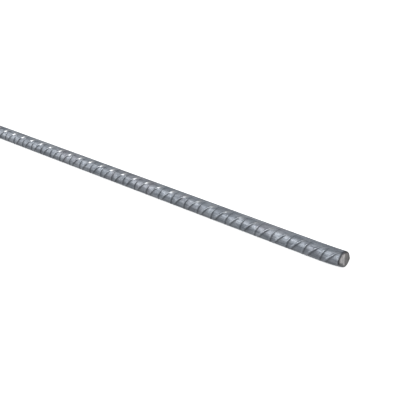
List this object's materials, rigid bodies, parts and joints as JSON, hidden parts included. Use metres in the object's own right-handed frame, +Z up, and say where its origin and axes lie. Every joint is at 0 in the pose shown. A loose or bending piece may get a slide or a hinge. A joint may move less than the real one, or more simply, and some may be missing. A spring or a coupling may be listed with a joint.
{
  "type": "ribbed reinforcing bar",
  "caption": "Straight ribbed steel reinforcing bar with sheared ends, lying on its side, for casting into concrete.",
  "frame": {"origin": "on the surface that the bar lies on, under the middle of its length and under its axis", "axes": "+X along the bar towards the near cut end, +Z up, +Y to the side"},
  "size_m": [1, 0.012, 0.012],
  "materials": {
    "rolled_steel": "blue-grey mill scale, worn brighter on the ribs, bare grey steel on the sheared ends"
  },
  "bodies": {
    "root": {"ribbed_bar": "rolled_steel"}
  },
  "joints": []
}
